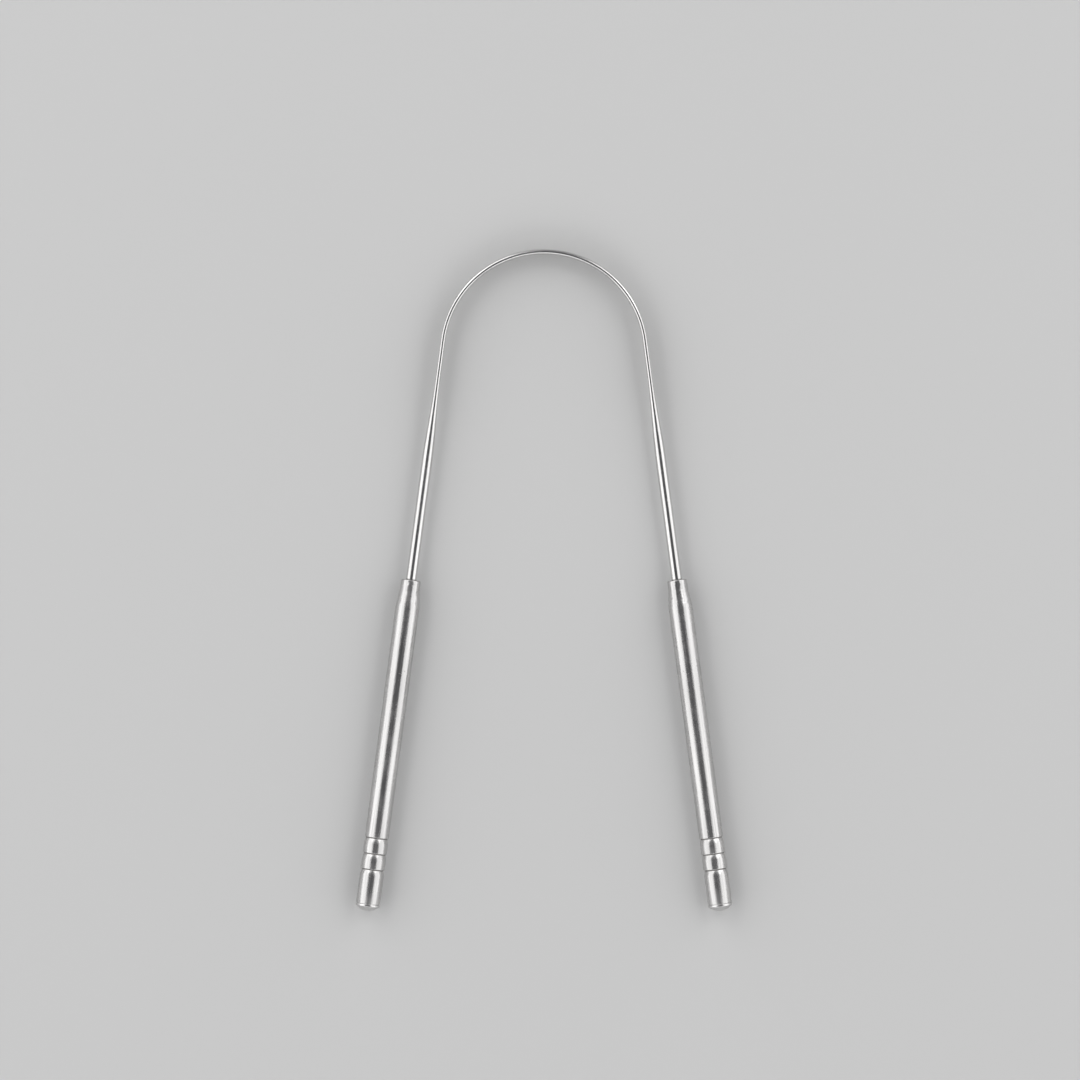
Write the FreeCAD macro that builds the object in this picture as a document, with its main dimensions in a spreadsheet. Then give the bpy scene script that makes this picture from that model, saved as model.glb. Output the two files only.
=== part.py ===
import FreeCAD
import Part
import Sketcher
import math
import os
from FreeCAD import Placement, Rotation, Vector

# Tongue scraper: a sprung steel bow with two tubular handles, lying flat.
# Crown of the arch toward +Y, handles toward -Y, blade on edge along Z. Millimetres.

# Driving sizes: alias, value, meaning
SIZES = [
    ("arch_radius", "21.2", "radius of the arch at the middle of the strip"),
    ("leg_splay", "7.6", "angle of each leg to the middle plane, degrees"),
    ("blade_thickness", "1.0", "thickness of the rolled strip"),
    ("flat_leg_length", "9.0", "straight strip below the arch"),
    ("taper_length", "15.4", "change from flat strip to round rod"),
    ("rod_diameter", "2.2", "diameter of the rod"),
    ("rod_show_length", "26.0", "round rod in sight above the handle"),
    ("rod_grip_length", "18.0", "round rod inside the handle"),
    ("rod_chamfer", "0.3", "chamfer on the hidden rod ends"),
    ("rod_clearance", "0.02", "radial gap between the rod and its bores"),
    ("tube_diameter", "5.0", "outer diameter of the handle tube"),
    ("tube_wall", "0.7", "wall of the handle tube"),
    ("tube_length", "68.0", "handle tube from mouth to tail face"),
    ("neck_length", "1.6", "swaged neck at the mouth"),
    ("flare_length", "4.5", "flare from the neck to the full tube"),
    ("flare_ease", "0.35", "how much steeper the flare's cone is than a straight line, to round its ends"),
    ("mouth_round", "0.25", "rounding of the outer edge of the mouth"),
    ("ring_count", "3", "rolled rings near the tail"),
    ("ring_pitch", "3.3", "spacing of the rings"),
    ("ring_depth", "0.3", "depth of a ring"),
    ("ring_step", "0.15", "length of the steep side of a ring"),
    ("ring_ramp", "1.25", "length of the shallow side of a ring"),
    ("ring_setback", "13.9", "tail face to the steep side of the first ring"),
    ("bush_length", "5.0", "collar on the inner end of the rod"),
    ("bush_setback", "1.0", "rod end past the collar"),
    ("bush_chamfer", "0.25", "chamfer on the rims of the collar"),
    ("plug_gap", "0.01", "radial gap of the collar and the cap shank in the tube"),
    ("cap_shank_length", "6.0", "cap shank inside the tube"),
    ("cap_chamfer", "0.4", "lead chamfer on the cap shank"),
    ("cap_rim", "0.5", "straight rim of the cap head"),
    ("cap_dome", "1.0", "height of the dome on the cap head"),
    ("cap_seam", "0.12", "chamfer where the cap head meets the tube"),
]

# Worked-out sizes and places: alias, formula, meaning
LAYOUT = [
    ("tube_radius", "=Sizes.tube_diameter / 2", "outer radius of the tube"),
    ("tube_bore_radius", "=tube_radius - Sizes.tube_wall", "inner radius of the tube"),
    ("rod_radius", "=Sizes.rod_diameter / 2", "radius of the rod"),
    ("rod_bore_radius", "=rod_radius + Sizes.rod_clearance", "bore of the neck and the collar"),
    ("neck_radius", "=sqrt(rod_bore_radius ^ 2 + tube_radius ^ 2 - tube_bore_radius ^ 2)",
     "outer radius of the neck, with as much metal in its wall as the tube"),
    ("plug_radius", "=tube_bore_radius - Sizes.plug_gap", "collar and cap shank"),
    ("flare_end", "=Sizes.neck_length + Sizes.flare_length", "mouth to the full tube"),
    ("flare_rise", "=tube_radius - neck_radius", "growth of the outer radius"),
    ("flare_slope", "=(1 + Sizes.flare_ease) * flare_rise / Sizes.flare_length", "slope of the outer cone"),
    ("flare_chord", "=(sqrt(1 + flare_slope ^ 2) - 1) / flare_slope", "slope across an outer rounded end"),
    ("flare_end_length", "=Sizes.flare_ease * flare_rise / (2 * (flare_slope - flare_chord))",
     "length of an outer rounded end"),
    ("flare_end_rise", "=flare_end_length * flare_chord", "growth over an outer rounded end"),
    ("flare_round", "=flare_end_length * sqrt(1 + flare_slope ^ 2) / flare_slope",
     "radius of an outer rounded end"),
    ("bore_rise", "=tube_bore_radius - rod_bore_radius", "growth of the bore"),
    ("bore_slope", "=(1 + Sizes.flare_ease) * bore_rise / Sizes.flare_length", "slope of the inner cone"),
    ("bore_chord", "=(sqrt(1 + bore_slope ^ 2) - 1) / bore_slope", "slope across an inner rounded end"),
    ("bore_end_length", "=Sizes.flare_ease * bore_rise / (2 * (bore_slope - bore_chord))",
     "length of an inner rounded end"),
    ("bore_end_rise", "=bore_end_length * bore_chord", "growth over an inner rounded end"),
    ("bore_round", "=bore_end_length * sqrt(1 + bore_slope ^ 2) / bore_slope",
     "radius of an inner rounded end"),
    ("ring_round", "=0.8 * (Sizes.ring_ramp ^ 2 + Sizes.ring_depth ^ 2) / Sizes.ring_depth",
     "radius of the shallow side of a ring"),
    ("ring_start", "=Sizes.tube_length - Sizes.ring_setback", "mouth to the first ring"),
    ("bush_start", "=Sizes.rod_grip_length - Sizes.bush_setback - Sizes.bush_length",
     "mouth to the collar"),
    ("cap_start", "=Sizes.tube_length - Sizes.cap_shank_length", "mouth to the cap shank"),
    ("cap_edge", "=Sizes.tube_length + Sizes.cap_rim", "mouth to the edge of the dome"),
    ("cap_end", "=cap_edge + Sizes.cap_dome", "mouth to the top of the dome"),
    ("dome_radius", "=(tube_radius ^ 2 + Sizes.cap_dome ^ 2) / (2 * Sizes.cap_dome)",
     "radius of the dome"),
    ("rod_start", "=Sizes.flat_leg_length + Sizes.taper_length", "arch to the round rod"),
    ("mouth_reach", "=rod_start + Sizes.rod_show_length", "arch to the handle mouth"),
    ("rod_length", "=Sizes.rod_show_length + Sizes.rod_grip_length", "whole round rod"),
    ("rod_section", "=pi * rod_radius ^ 2", "metal in the rod, kept when it is rolled flat"),
    ("blade_width", "=Sizes.blade_thickness + (rod_section"
     " - pi * Sizes.blade_thickness ^ 2 / 4) / Sizes.blade_thickness", "width of the strip"),
    ("axis_height", "=max(Sizes.tube_diameter; blade_width) / 2", "middle plane above the floor"),
    ("leg_x", "=Sizes.arch_radius * cos(Sizes.leg_splay)", "top of a leg from the middle plane"),
    ("leg_y", "=Sizes.arch_radius * sin(Sizes.leg_splay)", "top of a leg above the arch centre"),
    ("crown_y", "=Sizes.arch_radius + Sizes.blade_thickness / 2", "crown above the arch centre"),
    ("tail_y", "=leg_y - (mouth_reach + cap_end - dome_radius) * cos(Sizes.leg_splay)"
     " - dome_radius", "tail of the caps from the arch centre"),
    ("arch_y", "=-(crown_y + tail_y) / 2", "arch centre, with the whole length centred on Y"),
]

# Share of the taper at which each middle section stands
TAPER_STATIONS = (0.2, 0.4, 0.6, 0.8)

# Share of the easing in the taper; the rest of it grows evenly
TAPER_EASE = 0.6

# Sign of X for each side
SIDES = {"left": -1, "right": 1}


def fill_sheet(doc, name, rows):
    """Writes one sheet: meaning in A, number or formula in B under its alias."""
    sheet = doc.addObject("Spreadsheet::Sheet", name)
    for row, (alias, content, meaning) in enumerate(rows, start=1):
        sheet.set(f"A{row}", meaning)
        sheet.set(f"B{row}", content)
        sheet.setAlias(f"B{row}", alias)
    doc.recompute()


def worked_out(owner, formula):
    """Gives the number that a formula has now."""
    result = owner.evalExpression(formula)
    return float(getattr(result, "Value", result))


def new_body(doc, label):
    """Starts a sub-part."""
    body = doc.addObject("PartDesign::Body", label)
    body.Label = label
    return body


def origin_feature(body, role):
    """Finds a plane or an axis of a body's own origin."""
    return next(item for item in body.Origin.OriginFeatures if item.Role == role)


def new_sketch(body, name, role):
    """Starts a sketch on one of the body's own origin planes."""
    sketch = body.newObject("Sketcher::SketchObject", name)
    sketch.AttachmentSupport = [(origin_feature(body, role), "")]
    sketch.MapMode = "FlatFace"
    return sketch


def bind(sketch, kind, places, formula):
    """Adds a dimension to a sketch and ties it to a formula."""
    index = sketch.addConstraint(Sketcher.Constraint(kind, *places, worked_out(sketch, formula)))
    sketch.setExpression(f"Constraints[{index}]", formula)


def pin(sketch, geometry, position, corner):
    """Holds a point at its X and Y from the sketch origin; None puts it on that axis."""
    for kind, axis, formula in (("DistanceX", -2, corner[0]), ("DistanceY", -1, corner[1])):
        if formula is None:
            sketch.addConstraint(Sketcher.Constraint("PointOnObject", geometry, position, axis))
        else:
            bind(sketch, kind, (-1, 1, geometry, position), formula)


def arc_between(start, end, radius, side):
    """Gives the short arc of a radius from start to end, bulging to its left (1) or right (-1)."""
    chord = end - start
    sagitta = radius - math.sqrt(radius ** 2 - (chord.Length / 2) ** 2)
    normal = Vector(-chord.y, chord.x, 0).normalize()
    return Part.Arc(start, (start + end) / 2 + normal * sagitta * side, end)


def draw_outline(sketch, corners, arcs=None):
    """Draws a closed outline.

    corners: pairs of formulas, one side starting at each.
    arcs: side number -> (radius formula, side to which it bulges); other sides are straight.
    """
    arcs = arcs or {}
    points = []
    for corner in corners:
        place = [0.0 if formula is None else worked_out(sketch, formula) for formula in corner]
        points.append(Vector(*place, 0))
    sides = []
    for number, start in enumerate(points):
        end = points[(number + 1) % len(points)]
        if number in arcs:
            formula, bulge = arcs[number]
            geometry = sketch.addGeometry(arc_between(start, end, worked_out(sketch, formula), bulge))
            bind(sketch, "Radius", (geometry,), formula)
        else:
            geometry = sketch.addGeometry(Part.LineSegment(start, end))
        forward = sketch.getPoint(geometry, 1).isEqual(start, 1e-6)
        sides.append((geometry, 1, 2) if forward else (geometry, 2, 1))
    for number, corner in enumerate(corners):
        geometry, first, _ = sides[number]
        before, _, last = sides[number - 1]
        sketch.addConstraint(Sketcher.Constraint("Coincident", before, last, geometry, first))
        pin(sketch, geometry, first, corner)


def draw_strip(sketch, centre, thickness, width):
    """Draws a strip section with round edges, thin along X, its centre on the X axis."""
    radius = f"{thickness} / 2"
    reach = f"({width} - {thickness}) / 2"
    middle = 0.0 if centre is None else worked_out(sketch, centre)
    half = worked_out(sketch, radius)
    high = worked_out(sketch, reach)
    edges = []
    for sign, turn in ((1, 0.0), (-1, math.pi)):
        circle = Part.Circle(Vector(middle, sign * high, 0), Vector(0, 0, 1), half)
        edges.append(sketch.addGeometry(Part.ArcOfCircle(circle, turn, turn + math.pi)))
    top, bottom = edges
    for sign, upper, lower in ((1, 1, 2), (-1, 2, 1)):
        x = middle + sign * half
        face = sketch.addGeometry(Part.LineSegment(Vector(x, -high, 0), Vector(x, high, 0)))
        sketch.addConstraint(Sketcher.Constraint("Tangent", face, 2, top, upper))
        sketch.addConstraint(Sketcher.Constraint("Tangent", face, 1, bottom, lower))
    sketch.addConstraint(Sketcher.Constraint("Vertical", face))
    sketch.addConstraint(Sketcher.Constraint("Equal", top, bottom))
    bind(sketch, "Radius", (top,), radius)
    pin(sketch, top, 3, (centre, reach))
    bind(sketch, "DistanceY", (bottom, 3, -1, 1), reach)


def draw_circle(sketch, radius):
    """Draws a circle round the sketch origin."""
    circle = Part.Circle(Vector(0, 0, 0), Vector(0, 0, 1), worked_out(sketch, radius))
    geometry = sketch.addGeometry(circle)
    sketch.addConstraint(Sketcher.Constraint("Coincident", geometry, 3, -1, 1))
    bind(sketch, "Radius", (geometry,), radius)


def draw_quarters(sketch, radius):
    """Draws a circle round the sketch origin in four arcs that meet halfway between the axes."""
    circle = Part.Circle(Vector(0, 0, 0), Vector(0, 0, 1), worked_out(sketch, radius))
    for quarter in range(4):
        ends = [math.pi / 4 + turn * math.pi / 2 for turn in (quarter, quarter + 1)]
        arc = sketch.addGeometry(Part.ArcOfCircle(circle, *ends))
        sketch.addConstraint(Sketcher.Constraint("Coincident", arc, 3, -1, 1))
        bind(sketch, "Radius", (arc,), radius)
        for position, angle in enumerate(ends, start=1):
            bind(sketch, "DistanceX", (-1, 1, arc, position), f"{radius} * cos({math.degrees(angle)})")


def spin(body, name, sketch, kind="Revolution", angle="360"):
    """Turns an outline about the sketch's vertical axis, half the angle to each side."""
    turned = body.newObject(f"PartDesign::{kind}", name)
    turned.Profile = sketch
    turned.ReferenceAxis = (sketch, ["V_Axis"])
    turned.Midplane = True
    turned.setExpression("Angle", angle)
    body.Document.recompute()
    return turned


def pad(body, name, sketch, length):
    """Pads a sketch along its own normal."""
    feature = body.newObject("PartDesign::Pad", name)
    feature.Profile = sketch
    feature.setExpression("Length", length)
    body.Document.recompute()
    return feature


def rims(feature, radius, heights):
    """Names the circles of a radius whose centres stand at some distances along Y."""
    size = worked_out(feature, radius)
    places = [worked_out(feature, height) for height in heights]
    names = []
    for number, edge in enumerate(feature.Shape.Edges, start=1):
        if edge.Degenerated or not isinstance(edge.Curve, Part.Circle):
            continue
        circle = edge.Curve
        here = any(abs(circle.Center.y - place) < 1e-4 for place in places)
        if here and abs(circle.Radius - size) < 1e-4:
            names.append(f"Edge{number}")
    return names


def dress(body, kind, name, base, edges, size, formula):
    """Adds a fillet or a chamfer to edges of a feature and makes it the tip."""
    feature = body.newObject(f"PartDesign::{kind}", name)
    feature.Base = (base, edges)
    feature.setExpression(size, formula)
    body.Tip = feature
    body.Document.recompute()
    return feature


def leg_sketch(body, name, distance):
    """Starts a sketch across the right leg at a distance below the arch."""
    sketch = new_sketch(body, name, "XZ_Plane")
    sketch.AttachmentOffset = Placement(Vector(1, 0, 1), Rotation(Vector(0, 1, 0), 1))
    along = f"({distance})"
    sketch.setExpression("AttachmentOffset.Base.x", f"Layout.leg_x + {along} * sin(Sizes.leg_splay)")
    sketch.setExpression("AttachmentOffset.Base.z", f"{along} * cos(Sizes.leg_splay) - Layout.leg_y")
    sketch.setExpression("AttachmentOffset.Rotation.Angle", "Sizes.leg_splay")
    return sketch


def make_bow(doc):
    """The bow: strip round the arch, then strip, taper and round rod down each leg."""
    body = new_body(doc, "scraper_bow")
    body.setExpression("Placement.Base.y", "Layout.arch_y")
    body.setExpression("Placement.Base.z", "Layout.axis_height")
    thickness = "Sizes.blade_thickness"
    width = "Layout.blade_width"

    # Arch
    arch_section = new_sketch(body, "arch_section", "YZ_Plane")
    draw_strip(arch_section, "Sizes.arch_radius", thickness, width)
    spin(body, "arch", arch_section, angle="180 - 2 * Sizes.leg_splay")

    # Straight strip of the right leg
    strip_section = leg_sketch(body, "strip_section", "0")
    draw_strip(strip_section, None, thickness, width)
    strip = pad(body, "strip", strip_section, "Sizes.flat_leg_length")

    # Taper with the same metal in every section
    taper_start = leg_sketch(body, "taper_start", "Sizes.flat_leg_length")
    draw_strip(taper_start, None, thickness, width)
    sections = []
    for number, share in enumerate(TAPER_STATIONS, start=1):
        smooth = share ** 2 * (3 - 2 * share)
        eased = round(TAPER_EASE * smooth + (1 - TAPER_EASE) * share, 4)
        thick = f"({thickness} + {eased} * (Sizes.rod_diameter - {thickness}))"
        wide = f"({thick} + (Layout.rod_section - pi * {thick} ^ 2 / 4) / {thick})"
        place = f"Sizes.flat_leg_length + {share} * Sizes.taper_length"
        section = leg_sketch(body, f"taper_section_{number}", place)
        draw_strip(section, None, thick, wide)
        sections.append(section)
    taper_end = leg_sketch(body, "taper_end", "Layout.rod_start")
    draw_quarters(taper_end, "Layout.rod_radius")
    taper = body.newObject("PartDesign::AdditiveLoft", "taper")
    taper.Profile = taper_start
    taper.Sections = sections + [taper_end]
    doc.recompute()

    # Round rod, then the same leg on the left
    rod_section = leg_sketch(body, "rod_section", "Layout.rod_start")
    draw_circle(rod_section, "Layout.rod_radius")
    rod = pad(body, "rod", rod_section, "Layout.rod_length")
    legs = body.newObject("PartDesign::Mirrored", "legs")
    legs.Originals = [strip, taper, rod]
    legs.MirrorPlane = (origin_feature(body, "YZ_Plane"), [""])
    body.Tip = legs
    doc.recompute()

    # Lead chamfers on the hidden rod ends
    rod_end = "Layout.leg_y - (Layout.rod_start + Layout.rod_length) * cos(Sizes.leg_splay)"
    ends = rims(legs, "Layout.rod_radius", [rod_end])
    dress(body, "Chamfer", "rod_ends", legs, ends, "Size", "Sizes.rod_chamfer")
    return body


def place_on_leg(body, sign):
    """Puts a piece drawn along +Y from the handle mouth onto its leg."""
    body.Placement = Placement(Vector(1, 1, 1), Rotation(Vector(0, 0, 1), 180))
    across = "(Layout.leg_x + Layout.mouth_reach * sin(Sizes.leg_splay))"
    down = "Layout.mouth_reach * cos(Sizes.leg_splay)"
    body.setExpression("Placement.Base.x", f"{sign} * {across}")
    body.setExpression("Placement.Base.y", f"Layout.arch_y + Layout.leg_y - {down}")
    body.setExpression("Placement.Base.z", "Layout.axis_height")
    body.setExpression("Placement.Rotation.Angle", f"180 + {sign} * Sizes.leg_splay")
    body.Document.recompute()


def make_tube(doc, side):
    """Handle tube: swaged neck, flare with rounded ends, plain grip and rolled rings."""
    body = new_body(doc, f"{side}_handle_tube")
    outer = "Layout.tube_radius"
    inner = "Layout.tube_bore_radius"
    neck = "Layout.neck_radius"
    bore = "Layout.rod_bore_radius"
    neck_end = "Sizes.neck_length"
    flare_end = "Layout.flare_end"
    tail = "Sizes.tube_length"

    # Wall
    outline = new_sketch(body, f"{side}_tube_outline", "XY_Plane")
    corners = [
        (bore, None),
        (neck, None),
        (neck, neck_end),
        (f"{neck} + Layout.flare_end_rise", f"{neck_end} + Layout.flare_end_length"),
        (f"{outer} - Layout.flare_end_rise", f"{flare_end} - Layout.flare_end_length"),
        (outer, flare_end),
        (outer, tail),
        (inner, tail),
        (inner, flare_end),
        (f"{inner} - Layout.bore_end_rise", f"{flare_end} - Layout.bore_end_length"),
        (f"{bore} + Layout.bore_end_rise", f"{neck_end} + Layout.bore_end_length"),
        (bore, neck_end),
    ]
    arcs = {
        2: ("Layout.flare_round", 1),
        4: ("Layout.flare_round", -1),
        8: ("Layout.bore_round", 1),
        10: ("Layout.bore_round", -1),
    }
    draw_outline(outline, corners, arcs)
    spin(body, f"{side}_tube_wall", outline)

    # Rolled rings: steep toward the mouth, shallow toward the tail
    ring_outline = new_sketch(body, f"{side}_ring_outline", "XY_Plane")
    bottom = "Layout.ring_start + Sizes.ring_step"
    ramp_end = f"{bottom} + Sizes.ring_ramp"
    ring_corners = [
        (f"{outer} - Sizes.ring_depth", bottom),
        (f"{outer} + Sizes.ring_depth", "Layout.ring_start - Sizes.ring_step"),
        (f"{outer} + Sizes.ring_depth", ramp_end),
        (outer, ramp_end),
    ]
    draw_outline(ring_outline, ring_corners, {3: ("Layout.ring_round", 1)})
    ring = spin(body, f"{side}_ring", ring_outline, kind="Groove")
    rings = body.newObject("PartDesign::LinearPattern", f"{side}_rings")
    rings.Originals = [ring]
    rings.Direction = (origin_feature(body, "Y_Axis"), [""])
    rings.setExpression("Length", "Sizes.ring_pitch * (Sizes.ring_count - 1)")
    rings.setExpression("Occurrences", "Sizes.ring_count")
    body.Tip = rings
    doc.recompute()

    # Rounded mouth
    dress(body, "Fillet", f"{side}_mouth", rings, rims(rings, neck, ["0"]), "Radius", "Sizes.mouth_round")
    return body


def make_bush(doc, side):
    """Collar that holds the rod's inner end on the axis of the tube."""
    body = new_body(doc, f"{side}_rod_bush")
    start = "Layout.bush_start"
    end = "Layout.bush_start + Sizes.bush_length"
    bore = "Layout.rod_bore_radius"
    outer = "Layout.plug_radius"
    outline = new_sketch(body, f"{side}_bush_outline", "XY_Plane")
    draw_outline(outline, [(bore, start), (outer, start), (outer, end), (bore, end)])
    ring = spin(body, f"{side}_bush_ring", outline)
    edges = rims(ring, outer, [start, end])
    dress(body, "Chamfer", f"{side}_bush_rims", ring, edges, "Size", "Sizes.bush_chamfer")
    return body


def make_cap(doc, side):
    """End cap: a shank inside the tube and a domed head as wide as the tube."""
    body = new_body(doc, f"{side}_end_cap")
    start = "Layout.cap_start"
    seam = "Sizes.tube_length"
    shank = "Layout.plug_radius"
    head = "Layout.tube_radius"
    outline = new_sketch(body, f"{side}_cap_outline", "XY_Plane")
    corners = [
        (None, start),
        (shank, start),
        (shank, seam),
        (head, seam),
        (head, "Layout.cap_edge"),
        (None, "Layout.cap_end"),
    ]
    draw_outline(outline, corners, {4: ("Layout.dome_radius", -1)})
    plug = spin(body, f"{side}_cap_plug", outline)
    lead = dress(body, "Chamfer", f"{side}_cap_lead", plug, rims(plug, shank, [start]),
                 "Size", "Sizes.cap_chamfer")
    dress(body, "Chamfer", f"{side}_cap_seam", lead, rims(lead, head, [seam]), "Size", "Sizes.cap_seam")
    return body


def check(doc, bodies):
    """Stops the build when anything did not compute into one sound solid."""
    for item in doc.Objects:
        if "Invalid" in item.State or "Error" in item.State:
            raise RuntimeError(f"{item.Label} did not compute: {item.State}")
    for body in bodies:
        if body.Shape.isNull() or not body.Shape.isValid() or len(body.Shape.Solids) != 1:
            raise RuntimeError(f"{body.Label} is not one sound solid")


def main():
    """Builds every sub-part, checks it and writes its STEP file."""
    doc = FreeCAD.newDocument("tongue_scraper")
    fill_sheet(doc, "Sizes", SIZES)
    fill_sheet(doc, "Layout", LAYOUT)
    bodies = [make_bow(doc)]
    for side, sign in SIDES.items():
        for make in (make_tube, make_bush, make_cap):
            body = make(doc, side)
            place_on_leg(body, sign)
            bodies.append(body)
    doc.recompute()
    check(doc, bodies)
    os.makedirs("parts", exist_ok=True)
    for body in bodies:
        body.Shape.exportStep(f"parts/{body.Label}.step")


main()
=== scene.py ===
"""Looks of a steel tongue scraper: a sprung bow, flat round its arch, with two tube handles."""

from __future__ import annotations

import logging
import math
from dataclasses import dataclass
from enum import Enum
from typing import Any, Callable, Iterable, Sequence

import bmesh
import bpy
from bmesh.types import BMEdge, BMesh, BMVert
from bpy.types import Material, Object
from mathutils import Matrix, Vector, noise

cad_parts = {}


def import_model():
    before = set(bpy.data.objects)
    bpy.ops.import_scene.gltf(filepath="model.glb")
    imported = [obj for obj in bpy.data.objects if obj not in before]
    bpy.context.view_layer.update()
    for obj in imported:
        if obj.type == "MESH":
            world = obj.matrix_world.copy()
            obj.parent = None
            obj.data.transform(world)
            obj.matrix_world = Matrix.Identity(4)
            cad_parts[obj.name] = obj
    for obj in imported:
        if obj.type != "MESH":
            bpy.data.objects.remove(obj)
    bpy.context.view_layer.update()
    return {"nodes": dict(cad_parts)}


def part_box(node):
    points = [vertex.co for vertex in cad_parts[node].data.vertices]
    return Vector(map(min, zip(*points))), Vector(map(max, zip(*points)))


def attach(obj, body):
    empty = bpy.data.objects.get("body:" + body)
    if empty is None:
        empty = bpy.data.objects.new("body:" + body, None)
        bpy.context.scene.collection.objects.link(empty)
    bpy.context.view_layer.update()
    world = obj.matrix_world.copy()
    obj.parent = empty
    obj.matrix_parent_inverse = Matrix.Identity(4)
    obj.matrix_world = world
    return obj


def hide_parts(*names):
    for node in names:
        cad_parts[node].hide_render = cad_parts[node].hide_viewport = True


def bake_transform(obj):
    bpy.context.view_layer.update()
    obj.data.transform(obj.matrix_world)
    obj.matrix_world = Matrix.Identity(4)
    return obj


LOG = logging.getLogger("tongue_scraper")

MM = 0.001
UP = Vector((0.0, 0.0, 1.0))
MERGE = 0.0005 * MM
CORNER = math.radians(28)
CLIP_RATIO = 20
SURFACE_UV = "surface"
Pair = tuple[float, float]
Colour = tuple[float, float, float, float]
Reading = Callable[[BMVert], tuple[float, float, float]]


class Side(Enum):
    """The two legs, with the sign of X."""

    LEFT = -1
    RIGHT = 1

    @property
    def word(self) -> str:
        """Name of the side in piece names."""
        return self.name.lower()


class Slot(Enum):
    """Material slots."""

    POLISHED = "polished_steel"
    SATIN = "satin_steel"
    TURNED = "turned_steel"
    BRASS = "bush_brass"


@dataclass(frozen=True)
class Leg:
    """Centre line of one leg and its handle, measured downwards from the end of the arch.

    Attributes:
        side: Which leg it is.
        arch_centre: Middle of the arch, on the middle plane of the strip.
        arch_radius: Radius of the arch at the middle of the strip.
        splay: Angle of the leg to the middle plane.
    """

    side: Side
    arch_centre: Vector
    arch_radius: float
    splay: float

    @property
    def along(self) -> Vector:
        """Direction from the arch to the handle's tail."""
        return Vector((self.side.value * math.sin(self.splay), -math.cos(self.splay), 0.0))

    @property
    def outward(self) -> Vector:
        """Direction across the leg, away from the middle plane."""
        return Vector((self.side.value * math.cos(self.splay), math.sin(self.splay), 0.0))

    def point(self, distance: float) -> Vector:
        """Finds a point of the centre line.

        Args:
            distance: Length below the end of the arch.

        Returns:
            The point in the row frame.
        """
        return self.arch_centre + self.outward * self.arch_radius + self.along * distance


class Value:
    """A shader socket that takes part in Python arithmetic."""

    def __init__(self, tree: ShaderTree, socket: bpy.types.NodeSocket) -> None:
        """Keeps the socket and the tree that it belongs to."""
        self.tree = tree
        self.socket = socket

    def math(self, operation: str, *others: Value | float) -> Value:
        """Adds a Math node that starts from this value."""
        return self.tree.math(operation, self, *others)

    def __add__(self, other: Value | float) -> Value:
        """Sum."""
        return self.tree.math("ADD", self, other)

    __radd__ = __add__

    def __sub__(self, other: Value | float) -> Value:
        """Difference."""
        return self.tree.math("SUBTRACT", self, other)

    def __rsub__(self, other: float) -> Value:
        """Difference from a number."""
        return self.tree.math("SUBTRACT", other, self)

    def __mul__(self, other: Value | float) -> Value:
        """Product."""
        return self.tree.math("MULTIPLY", self, other)

    __rmul__ = __mul__

    def above(self, low: float, high: float) -> Value:
        """Fades from 0 at low to 1 at high.

        Args:
            low: Value that gives 0.
            high: Value that gives 1. It may be under low for a falling fade.

        Returns:
            The faded value.
        """
        settings = {"interpolation_type": "SMOOTHSTEP"}
        sockets = {"Value": self, "From Min": low, "From Max": high}
        return self.tree.node("ShaderNodeMapRange", settings, sockets).out("Result")


class Made:
    """A node that was added, with its outputs as values."""

    def __init__(self, tree: ShaderTree, node: bpy.types.Node) -> None:
        """Keeps the node and its tree."""
        self.tree = tree
        self.node = node

    def out(self, key: str | int = 0) -> Value:
        """Gives an output by name or number."""
        return Value(self.tree, self.node.outputs[key])


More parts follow.
